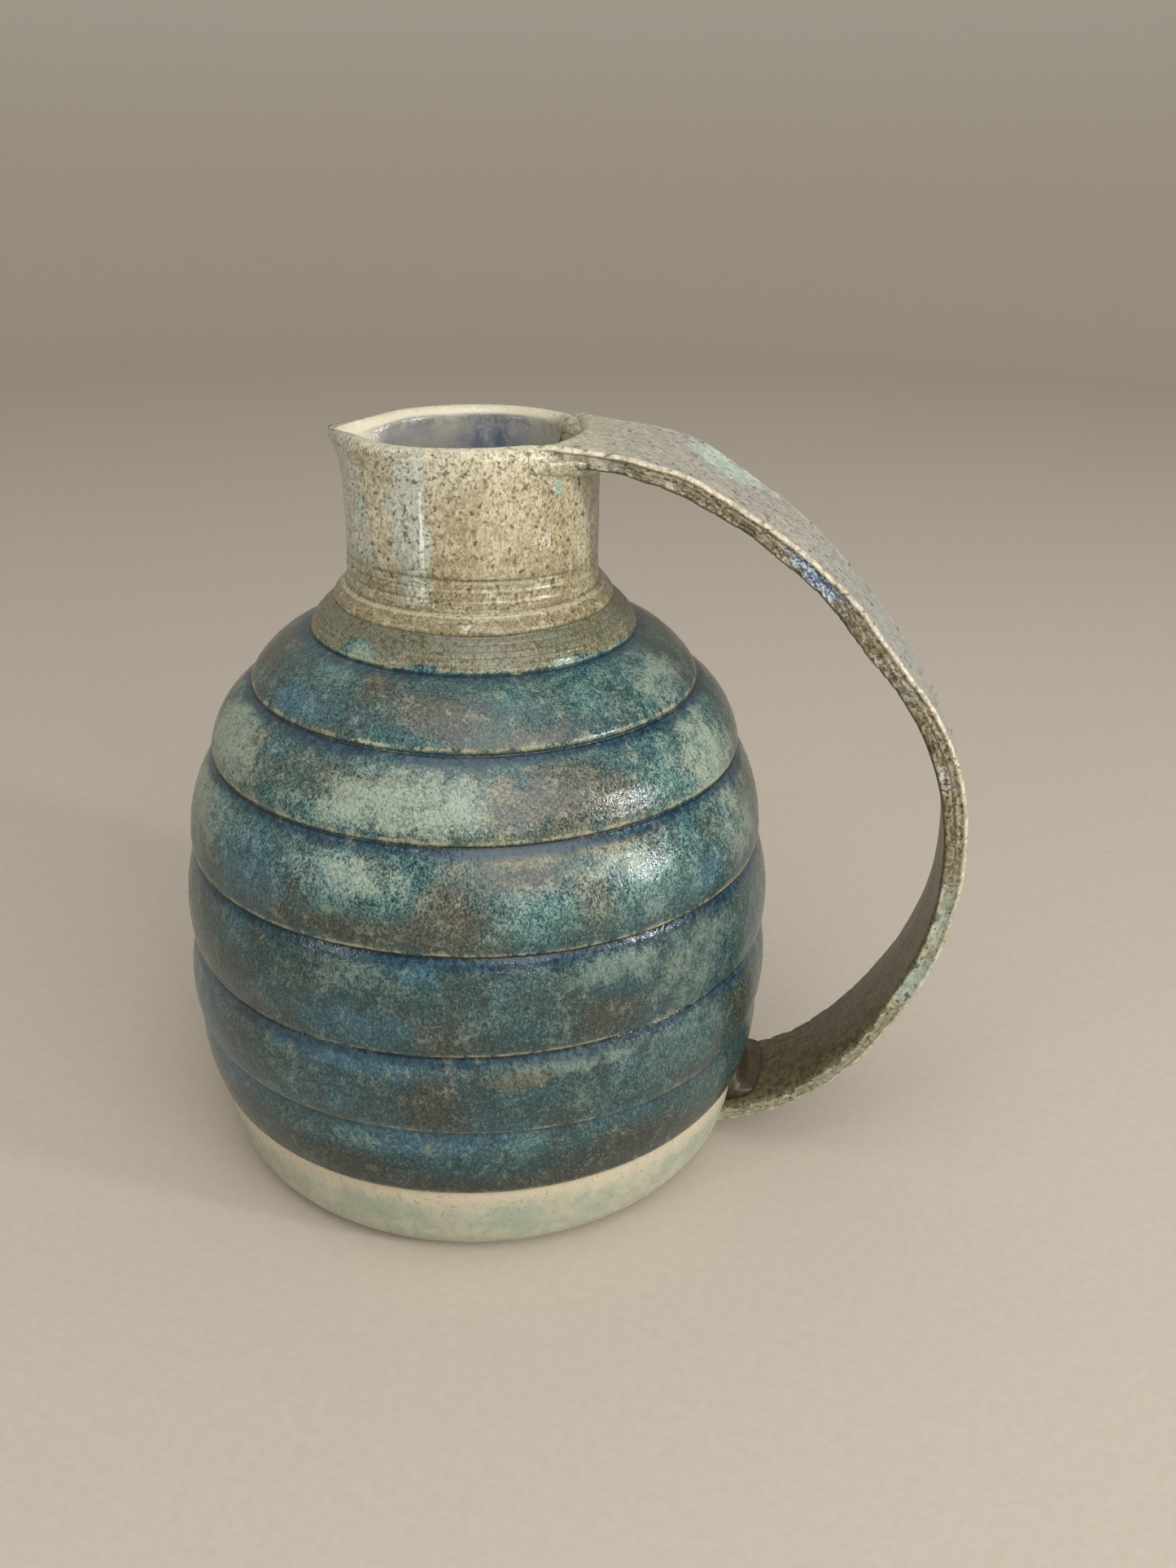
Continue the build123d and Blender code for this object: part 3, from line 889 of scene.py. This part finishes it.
def banded_glaze():
    """The body: teal glaze that broke to brown, ochre and celadon over the thrown bands."""
    g = Glaze("banded_teal_glaze")
    flecks = g.noise(0.48, 2.0, 0.6, stretch=1.3, shift=1.0)
    mottle = g.noise(1.3, 3.0, 0.62, stretch=1.3, shift=2.0)
    clumps = g.noise(5.0, 4.0, 0.6, stretch=1.1, shift=3.0, warp=0.4)
    clouds = g.noise(17.0, 3.0, 0.55, shift=5.0, warp=0.5)
    specks = g.noise(1.1, 1.0, 0.4, stretch=1.2, shift=2.0)
    pale = g.step(g.sum((flecks, 1.5), (mottle, 0.55), (clumps, 0.45)), -0.38, 0.42)
    # Where the bands are darkened (darker glaze and painted shade), the grain is flattened too.
    softer = g.times(g.value("deep_glaze_and_painted_shade"), 0.3)
    pale = g.plus(g.times(pale, g.maths("SUBTRACT", 1.0, softer)), g.times(softer, 0.45))
    breaking = g.sum((flecks, 0.7), (mottle, 0.9), (clumps, 1.8))

    teal = g.tones(pale, (18, 44, 50), (92, 132, 132))
    slate = g.tones(pale, (34, 48, 48), (104, 122, 114))
    colour = g.blend(g.step(clouds, 0.4, 0.62), teal, slate)
    turquoise = g.tones(pale, (32, 68, 70), (136, 174, 165))
    blue = g.tones(pale, (26, 62, 84), (94, 138, 158))
    brown = g.tones(pale, (40, 38, 32), (116, 110, 94))
    celadon = g.tones(pale, (116, 134, 120), (166, 178, 162))
    ochre = g.tones(pale, (92, 82, 58), (158, 146, 112))
    for name, paint, strength in (
        ("blue", blue, 0.85),
        ("brown", brown, 0.85),
        ("turquoise", turquoise, 0.7),
        ("celadon", celadon, 0.9),
        ("ochre", ochre, 0.65),
    ):
        mask = g.grainy(g.value(name), breaking, 0.45)
        colour = g.cover(colour, paint, mask, strength)
    # Darkens the low bands and the top band: darker glaze and painted shade, less where the glaze is
    # blue.
    deep_glaze_and_painted_shade = g.times(g.value("deep_glaze_and_painted_shade"), g.maths("SUBTRACT", 1.0, g.times(g.value("blue"), 0.7)))
    colour = g.blend(g.times(deep_glaze_and_painted_shade, 0.78), colour, srgb(160, 177, 184), "MULTIPLY")
    in_celadon = g.times(g.step(specks, 0.6, 0.7), g.value("celadon"))
    colour = g.cover(colour, srgb(76, 86, 78), in_celadon, 0.6)
    pits = g.noise(0.75, 1.0, 0.4, stretch=1.2, shift=6.0)
    colour = g.cover(colour, srgb(26, 38, 40), g.step(pits, 0.6, 0.7), 0.45)
    bright = g.times(g.step(pits, 0.38, 0.3), g.maths("SUBTRACT", 1.0, g.value("celadon")))
    colour = g.cover(colour, srgb(150, 176, 166), bright, 0.16)

    above = g.value("above_groove")
    below = g.value("below_groove")
    depth = g.value("groove_depth")
    # The lip over each groove is pale: glaze breaking thin on the edge, with a painted highlight along
    # it.
    crest = g.times(g.step(above, 2.2, 0.7), g.step(above, 0.3, 0.7))
    patchy_breakup = g.step(g.sum((clumps, 1.5), (clouds, 1.5), (mottle, 0.5)), -0.12, 0.14)
    crest = g.times(g.times(crest, depth), g.times(patchy_breakup, g.plus(g.times(pale, 0.45), 0.15)))
    colour = g.blend(
        crest, colour, g.tones(g.step(clouds, 0.42, 0.58), (160, 158, 130), (138, 124, 88))
    )
    # A brighter line on the lip: painted highlight over the pale glaze.
    pale_lip_and_highlight = g.times(g.step(above, 1.5, 1.0), g.step(above, 0.5, 0.8))
    pale_lip_and_highlight = g.times(g.times(pale_lip_and_highlight, depth), g.step(breaking, -0.25, 0.25))
    colour = g.cover(colour, srgb(176, 172, 142), pale_lip_and_highlight, 0.5)
    reach = g.plus(g.times(clouds, 9.0), -1.2)
    pool = g.step(g.maths("DIVIDE", below, reach), 1.15, 0.4)
    pooled = g.tones(g.step(mottle, 0.35, 0.65), (14, 40, 56), (36, 70, 88))
    colour = g.cover(colour, pooled, g.times(pool, depth), 0.85)
    # Dark along each groove and just under its lip: pooled glaze and painted shadow.
    pooled_and_shadowed_groove = g.maths("MAXIMUM", g.step(above, 0.6, 0.15), g.step(below, 0.9, 0.2))
    colour = g.cover(colour, srgb(16, 30, 40), g.times(pooled_and_shadowed_groove, depth), 0.85)

    collar = g.tones(pale, (74, 74, 56), (146, 144, 120))
    collar = g.blend(
        g.step(g.sum((clumps, 1.0), (clouds, 0.6)), 0.0, 0.2),
        collar,
        g.tones(pale, (70, 82, 74), (128, 138, 124)),
    )
    collar = g.cover(collar, srgb(98, 88, 62), g.value("collar_ring"), 0.35)
    stained = g.times(
        g.step(above, 3.5, 6.5), g.step(g.sum((clumps, 1.6), (clouds, 1.2), (flecks, 0.8)), -0.25, 0.2)
    )
    collar = g.cover(collar, g.tones(pale, (64, 68, 60), (118, 118, 102)), stained, 0.6)
    collar = g.cover(
        collar, g.tones(pale, (122, 116, 88), (176, 170, 140)), g.step(above, 2.6, 1.0), 0.4
    )
    collar = g.cover(collar, srgb(72, 64, 46), g.step(specks, 0.58, 0.66), 0.7)
    on_collar = g.times(g.value("collar"), g.step(g.value("turquoise"), 0.75, 0.3))
    past_teal = g.plus(g.step(above, 0.2, 3.2), g.sum((clouds, 1.6), (clumps, 1.2)))
    on_collar = g.times(on_collar, g.step(past_teal, 0.05, 0.45))
    colour = g.blend(g.grainy(on_collar, breaking, 0.3), colour, collar)

    clay = g.tones(g.step(clumps, 0.35, 0.65), (173, 174, 154), (158, 160, 142))
    clay = g.blend(g.step(g.value("foot_low"), 0.2, 0.9), clay, srgb(164, 164, 146))
    clay = g.cover(clay, srgb(202, 188, 162), g.value("foot_top"), 0.7)
    clay = g.cover(clay, srgb(150, 160, 142), g.grainy(g.value("blotch"), breaking, 0.4), 0.8)
    clay = g.cover(clay, srgb(120, 108, 84), g.step(specks, 0.64, 0.72), 0.4)
    colour = g.blend(g.value("foot"), colour, clay)

    lining = g.tones(g.step(clouds, 0.35, 0.65), (158, 156, 144), (122, 124, 122))
    lining = g.cover(lining, srgb(96, 84, 66), g.step(specks, 0.62, 0.7), 0.7)
    colour = g.blend(g.value("lining"), colour, lining)

    roughness = g.plus(g.times(g.step(g.sum((mottle, 1.0), (flecks, 0.8)), -0.12, 0.14), 0.3), 0.05)
    roughness = g.plus(roughness, g.times(g.value("foot"), 0.25))
    roughness = g.maths("ADD", roughness, g.times(g.value("celadon"), 0.16), clamp=True)
    return g.finish(
        colour, roughness, [(clumps, 0.9, 0.3), (mottle, 0.35, 0.4), (flecks, 0.14, 0.35)], 0.45
    )


def oatmeal_glaze():
    """The neck: pale oatmeal glaze over iron-speckled clay, with runs of bluish white."""
    g = Glaze("oatmeal_speckle_glaze")
    flecks = g.noise(0.55, 2.0, 0.6, stretch=1.4, shift=4.0)
    mottle = g.noise(1.6, 3.0, 0.6, stretch=1.4, shift=5.0)
    clumps = g.noise(4.0, 3.0, 0.6, stretch=1.5, shift=6.0)
    clouds = g.noise(13.0, 3.0, 0.55, stretch=1.3, shift=7.0)
    specks = g.noise(0.95, 1.5, 0.5, stretch=1.1, shift=8.0)
    dots = g.noise(1.5, 1.0, 0.4, shift=9.0)
    pale = g.step(g.sum((flecks, 1.2), (mottle, 1.0), (clumps, 0.7)), -0.32, 0.3)
    breaking = g.sum((flecks, 0.7), (mottle, 1.0), (clumps, 1.7))

    colour = g.tones(pale, (150, 140, 112), (214, 208, 184))
    olive = g.tones(pale, (134, 127, 98), (188, 182, 156))
    colour = g.blend(g.step(g.sum((clumps, 1.0), (clouds, 0.5)), -0.02, 0.2), colour, olive)
    warm = g.tones(pale, (112, 96, 66), (180, 164, 130))
    colour = g.cover(colour, warm, g.grainy(g.value("warm"), breaking, 0.4), 0.7)
    run = g.tones(pale, (152, 158, 146), (200, 206, 198))
    colour = g.cover(colour, run, g.grainy(g.value("run"), breaking, 0.4), 0.85)
    drip = g.tones(pale, (126, 160, 158), (168, 198, 196))
    colour = g.cover(colour, drip, g.grainy(g.value("drip"), breaking, 0.3), 0.7)
    # The bright streaks: white glaze edge and painted highlight.
    colour = g.cover(
        colour, srgb(232, 232, 224), g.step(g.plus(g.value("streak_and_highlight"), breaking), 0.35, 0.6), 0.9
    )
    colour = g.cover(colour, srgb(112, 98, 70), g.value("ring_dark"), 0.6)
    colour = g.cover(colour, srgb(212, 204, 176), g.value("ridge"), 0.6)
    iron = g.times(g.step(g.sum((specks, 1.0), (clumps, 0.6)), 0.08, 0.18), 0.7)
    colour = g.blend(iron, colour, srgb(96, 80, 52))
    colour = g.cover(colour, srgb(62, 52, 38), g.step(dots, 0.655, 0.7), 0.75)
    # Darker towards the seam and on the coil; inside under the strap's root this is painted shade.
    colour = g.blend(g.value("low"), colour, srgb(230, 232, 228), "MULTIPLY")

    lining = g.tones(g.step(clouds, 0.38, 0.62), (164, 162, 150), (132, 134, 136))
    cobalt = g.tones(g.step(clumps, 0.4, 0.6), (70, 82, 118), (118, 126, 144))
    lining = g.cover(
        lining, cobalt, g.grainy(g.value("cobalt"), g.sum((clouds, 1.2), (clumps, 1.2)), 0.5), 0.85
    )
    lining = g.cover(lining, srgb(104, 96, 80), g.step(specks, 0.62, 0.7), 0.3)
    # Painted shadow just under the rim inside, broken into patches.
    patchy_breakup = g.times(g.value("shadow"), g.step(g.sum((clumps, 1.0), (mottle, 1.0)), -0.1, 0.1))
    lining = g.cover(lining, srgb(104, 92, 66), patchy_breakup, 0.6)
    lining = g.blend(g.step(g.value("cream"), 0.2, 0.8), lining, srgb(204, 196, 174))
    colour = g.blend(g.value("inside"), colour, lining)
    lip = g.tones(pale, (176, 168, 144), (214, 208, 188))
    colour = g.cover(colour, lip, g.grainy(g.value("lip"), breaking, 0.5), 0.75)
    colour = g.cover(colour, g.tones(pale, (116, 122, 108), (160, 164, 148)), g.value("spout"), 0.6)

    roughness = g.plus(g.times(flecks, 0.22), 0.14)
    return g.finish(colour, roughness, [(clumps, 0.7, 0.3), (mottle, 0.3, 0.35), (flecks, 0.12, 0.4)])


def taupe_glaze():
    """The strap: thin taupe glaze with brown speckle, pale proud edges lit along their tops with painted
    light, and an underside darkened with painted shade.
    """
    g = Glaze("taupe_speckle_glaze")
    along = g.add("ShaderNodeCombineXYZ")
    g.feed(along.inputs["X"], g.times(g.value("run_along"), 0.85 * MM))
    g.feed(along.inputs["Y"], g.times(g.value("through"), 2.5 * MM))
    g.feed(along.inputs["Z"], g.times(g.value("across_mm"), MM))
    along = along.outputs["Vector"]
    flecks = g.noise(0.55, 2.0, 0.6, shift=8.0)
    mottle = g.noise(1.5, 3.0, 0.6, shift=9.0)
    clumps = g.noise(4.0, 4.0, 0.6, shift=10.0)
    clouds = g.noise(12.0, 3.0, 0.55, shift=11.0)
    dashes = g.noise(1.4, 1.0, 0.45, shift=14.0, place=along)
    dots = g.noise(1.5, 0.5, 0.4, shift=13.0)
    pale = g.step(g.sum((flecks, 1.0), (mottle, 0.9), (clumps, 0.7)), -0.32, 0.32)
    breaking = g.sum((flecks, 0.7), (mottle, 1.0), (clumps, 1.7))

    colour = g.tones(pale, (142, 136, 122), (176, 170, 158))
    mauve = g.tones(pale, (138, 134, 126), (168, 165, 158))
    colour = g.blend(g.step(clouds, 0.42, 0.58), colour, mauve)
    colour = g.blend(g.value("blue_grey"), colour, g.tones(pale, (138, 143, 138), (164, 170, 166)))
    colour = g.cover(colour, srgb(98, 86, 70), g.step(dashes, 0.6, 0.68), 0.6)
    celadon = g.tones(pale, (136, 156, 144), (190, 204, 192))
    patches = g.grainy(g.value("celadon"), breaking, 0.25)
    colour = g.cover(colour, celadon, patches, 0.85)
    colour = g.cover(colour, g.tones(pale, (146, 138, 112), (200, 192, 168)), g.value("pale"), 0.7)
    lilac = g.times(g.value("pale"), g.step(g.sum((clumps, 1.0), (mottle, 0.6)), 0.06, 0.18))
    colour = g.cover(colour, srgb(178, 176, 182), lilac, 0.7)

    edge_flecks = g.noise(0.6, 2.0, 0.6, shift=8.0, place=along)
    edge_streaks = g.noise(1.5, 3.0, 0.6, shift=9.0, place=along)
    edge_specks = g.noise(1.0, 1.0, 0.45, shift=12.0, place=along)
    edge_clumps = g.noise(3.6, 4.0, 0.6, shift=10.0, place=along)
    edge_clouds = g.noise(10.0, 3.0, 0.55, shift=11.0, place=along)
    edge_pale = g.step(g.sum((edge_flecks, 1.0), (edge_streaks, 1.2), (edge_clumps, 0.6)), -0.26, 0.28)
    edge = g.tones(edge_pale, (74, 64, 42), (150, 140, 110))
    edge = g.blend(g.value("upper_half"), edge, g.tones(edge_pale, (124, 114, 88), (190, 180, 154)))
    marbled = g.tones(edge_pale, (118, 116, 104), (184, 180, 164))
    edge = g.blend(g.step(g.sum((edge_clouds, 1.0), (edge_clumps, 0.5)), 0.02, 0.16), edge, marbled)
    edge = g.cover(
        edge, srgb(52, 44, 30), g.step(g.sum((edge_specks, 1.0), (edge_clumps, 0.5)), 0.07, 0.16), 0.85
    )
    # Painted shade darkens the crease in the cut edge.
    edge = g.cover(edge, srgb(66, 58, 42), g.value("crease"), 0.7)
    low = g.tones(edge_pale, (120, 120, 98), (176, 172, 146))
    edge = g.cover(edge, low, g.value("edge_low"), 0.85)
    edge = g.cover(edge, celadon, patches, 0.65)
    cobalt = g.tones(
        g.step(g.sum((edge_flecks, 1.0), (edge_specks, 1.0)), -0.08, 0.1),
        (72, 90, 116),
        (172, 182, 184),
    )
    edge = g.blend(g.grainy(g.value("cobalt"), breaking, 0.3), edge, cobalt)
    colour = g.blend(g.value("edge_side"), colour, edge)
    rim_light = g.tones(edge_pale, (150, 138, 108), (218, 210, 186))
    patchy_breakup = g.step(g.sum((mottle, 1.0), (edge_clumps, 1.0)), -0.3, 0.02)
    lit = g.times(g.value("edge_top"), g.plus(g.times(patchy_breakup, 0.5), 0.4))
    colour = g.blend(lit, colour, rim_light)
    # Painted shade: the strap's underside and the lower pad are painted dark.
    under = g.tones(edge_pale, (86, 80, 58), (122, 114, 86))
    under = g.cover(under, srgb(60, 52, 38), g.step(edge_specks, 0.6, 0.68), 0.5)
    under = g.blend(g.value("shade"), under, srgb(160, 150, 140), "MULTIPLY")
    colour = g.blend(g.value("under"), colour, under)
    colour = g.cover(colour, srgb(58, 48, 36), g.step(dots, 0.68, 0.72), 0.7)

    roughness = g.plus(g.times(edge_flecks, 0.24), 0.26)
    return g.finish(
        colour, roughness, [(edge_clumps, 0.8, 0.35), (mottle, 0.3, 0.4), (edge_flecks, 0.14, 0.55)]
    )


def studio_paper():
    """The pale floor, with the faint unevenness of painted board, painted lighter where it curves up
    into the backdrop.
    """
    g = Glaze("pale_floor")
    tooth = g.noise(3.0, 3.0, 0.6, shift=12.0)
    colour = g.tones(g.step(tooth, 0.3, 0.7), (190, 180, 167), (186, 176, 163))
    # Painted light: the backdrop is paler the higher it rises.
    height = g.add("ShaderNodeSeparateXYZ")
    g.feed(height.inputs[0], g.place)
    colour = g.blend(g.step(height.outputs["Z"], 0.1, 0.9), colour, srgb(212, 209, 197))
    return g.finish(colour, g.plus(g.times(tooth, 0.1), 0.6), [(tooth, 0.3, 0.3)])


# ---------------------------------------------------------------- assembly

banded, oatmeal, taupe = banded_glaze(), oatmeal_glaze(), taupe_glaze()


def place(piece, node, slot, material):
    piece.data.materials.append(material)
    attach(piece, "root")
    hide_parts(node)


place(make_body(), "thrown_body", "banded_teal_glaze", banded)
place(make_neck(), "thrown_neck", "oatmeal_speckle_glaze", oatmeal)
place(make_coil(), "neck_luting_coil", "oatmeal_speckle_glaze", oatmeal)
place(make_upper_pad(), "upper_joint_pad", "oatmeal_speckle_glaze", oatmeal)
place(make_strap(), "strap_handle", "taupe_speckle_glaze", taupe)
place(make_lower_pad(), "lower_joint_pad", "taupe_speckle_glaze", taupe)

# ---------------------------------------------------------------- floor, light and camera

# In metres: the floor lies just under the base, so that the two faces don't fight.
FLOOR_GAP = 0.0002
LIGHT_COLOUR = (1.0, 0.985, 0.96)
# Azimuth and elevation in degrees, distance and size in metres, and power in watts.
LIGHTS = {
    "window_left": (-131, 12, 1.3, (0.12, 0.24), 1.6),
    "window_right": (-14, 13, 1.3, (0.10, 0.20), 7.0),
    "front_small": (-60, 12, 1.2, (0.05, 0.10), 1.2),
    "key": (-55, 36, 1.5, (1.3, 1.0), 12),
    "overhead": (-80, 72, 1.4, (1.0, 1.0), 6),
}


def make_floor():
    """A plain pale floor that curves up into a round backdrop, the same from every side."""
    flat, curve, columns = 1.5, 0.9, 128
    outline = [(0.0, 0.0), (0.3, 0.0), (0.7, 0.0), (1.1, 0.0), (flat, 0.0)]
    for turn in np.linspace(0, math.pi / 2, 25)[1:]:
        outline.append((flat + curve * math.sin(turn), curve * (1 - math.cos(turn))))
    outline += [(flat + curve, 1.2), (flat + curve, 1.6)]
    vertices = [(0.0, 0.0, -FLOOR_GAP)]
    for radius, height in outline[1:]:
        for turn in np.linspace(0, 2 * math.pi, columns, endpoint=False):
            vertices.append((radius * math.cos(turn), radius * math.sin(turn), height - FLOOR_GAP))
    faces = [(0, 1 + i, 1 + (i + 1) % columns) for i in range(columns)]
    for row in range(len(outline) - 2):
        for i in range(columns):
            a, b = 1 + row * columns + i, 1 + row * columns + (i + 1) % columns
            faces.append((a, a + columns, b + columns, b))
    mesh = bpy.data.meshes.new("floor")
    mesh.from_pydata(vertices, [], faces)
    mesh.polygons.foreach_set("use_smooth", [True] * len(mesh.polygons))
    floor = bpy.data.objects.new("floor", mesh)
    floor.data.materials.append(studio_paper())
    bpy.context.scene.collection.objects.link(floor)


def soft_light(name, azimuth, elevation, distance, size, watts):
    """An area light that faces the middle of the pitcher."""
    target = (cad_low + cad_high) / 2
    a, e = math.radians(azimuth), math.radians(elevation)
    away = Vector((math.cos(a) * math.cos(e), math.sin(a) * math.cos(e), math.sin(e)))
    lamp = bpy.data.lights.new(name, "AREA")
    lamp.shape = "RECTANGLE"
    lamp.size, lamp.size_y = size
    lamp.energy = watts
    lamp.color = LIGHT_COLOUR
    light = bpy.data.objects.new(name, lamp)
    light.location = target + away * distance
    light.rotation_euler = away.to_track_quat("Z", "Y").to_euler()
    bpy.context.scene.collection.objects.link(light)


def make_world(colour, strength):
    world = bpy.data.worlds.new("studio")
    world.use_nodes = True
    background = world.node_tree.nodes["Background"]
    background.inputs["Color"].default_value = colour
    background.inputs["Strength"].default_value = strength
    bpy.context.scene.world = world


def make_camera():
    """Close to the pitcher and above its rim, looking down at it, as a phone held in the hand."""
    azimuth, reach, height = math.radians(-75.0), 0.3491, 0.2654
    heading, pitch, roll = math.radians(100.03), math.radians(25.13), math.radians(0.81)
    forward = Vector(
        (math.cos(heading) * math.cos(pitch), math.sin(heading) * math.cos(pitch), -math.sin(pitch))
    )
    level = Vector((math.sin(heading), -math.cos(heading), 0.0))
    upright = level.cross(forward)
    right = level * math.cos(roll) + upright * math.sin(roll)
    up = upright * math.cos(roll) - level * math.sin(roll)
    data = bpy.data.cameras.new("camera")
    data.lens = 31.76
    data.clip_start = 0.01
    camera = bpy.data.objects.new("camera", data)
    turn = Matrix((right, up, -forward)).transposed().to_4x4()
    spot = Vector((reach * math.cos(azimuth), reach * math.sin(azimuth), height))
    camera.matrix_world = Matrix.Translation(spot) @ turn
    bpy.context.scene.collection.objects.link(camera)
    bpy.context.scene.camera = camera


make_floor()
make_world(srgb(226, 225, 222), 0.62)
for light_name, settings in LIGHTS.items():
    soft_light(light_name, *settings)
make_camera()
bpy.context.scene.view_settings.view_transform = "Standard"
